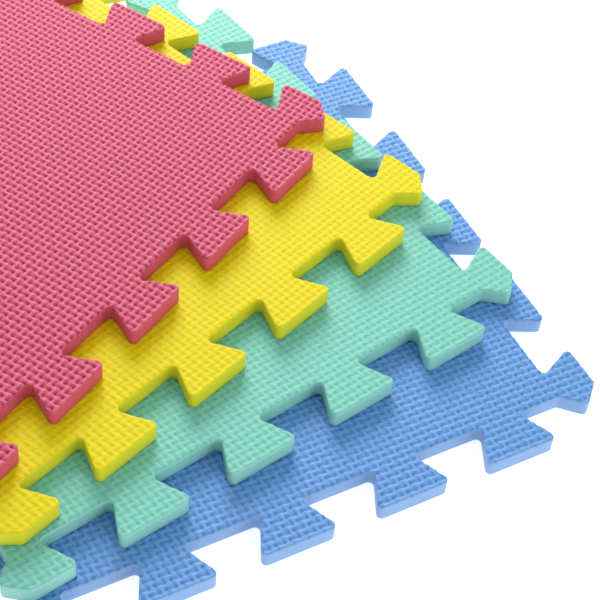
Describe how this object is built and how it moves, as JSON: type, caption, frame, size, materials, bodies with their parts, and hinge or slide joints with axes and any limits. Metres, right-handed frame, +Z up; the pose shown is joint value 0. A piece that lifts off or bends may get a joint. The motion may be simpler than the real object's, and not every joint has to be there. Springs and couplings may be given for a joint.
{
  "type": "interlocking foam blocking mats",
  "caption": "Stack of square interlocking foam mats with dovetail edges, fanned out, for pinning knitting flat while it dries.",
  "frame": {"origin": "centre of the lowest mat's underside", "axes": "+Z up out of the mats' top faces; +X and +Y along the lowest mat's sides"},
  "size_m": [0.4685, 0.494, 0.0401],
  "materials": {
    "blue_foam": "matte",
    "green_foam": "matte",
    "yellow_foam": "matte",
    "red_foam": "matte"
  },
  "bodies": {
    "blue_mat": {"blue_mat": "blue_foam"},
    "green_mat": {"green_mat": "green_foam"},
    "yellow_mat": {"yellow_mat": "yellow_foam"},
    "red_mat": {"red_mat": "red_foam"}
  },
  "joints": [
    {"name": "green_lift", "type": "slide", "parent": "blue_mat", "child": "green_mat", "axis": [0, 0, 1], "range_m": [0, 0.15]},
    {"name": "yellow_lift", "type": "slide", "parent": "green_mat", "child": "yellow_mat", "axis": [0, 0, 1], "range_m": [0, 0.15]},
    {"name": "red_lift", "type": "slide", "parent": "yellow_mat", "child": "red_mat", "axis": [0, 0, 1], "range_m": [0, 0.15]}
  ]
}
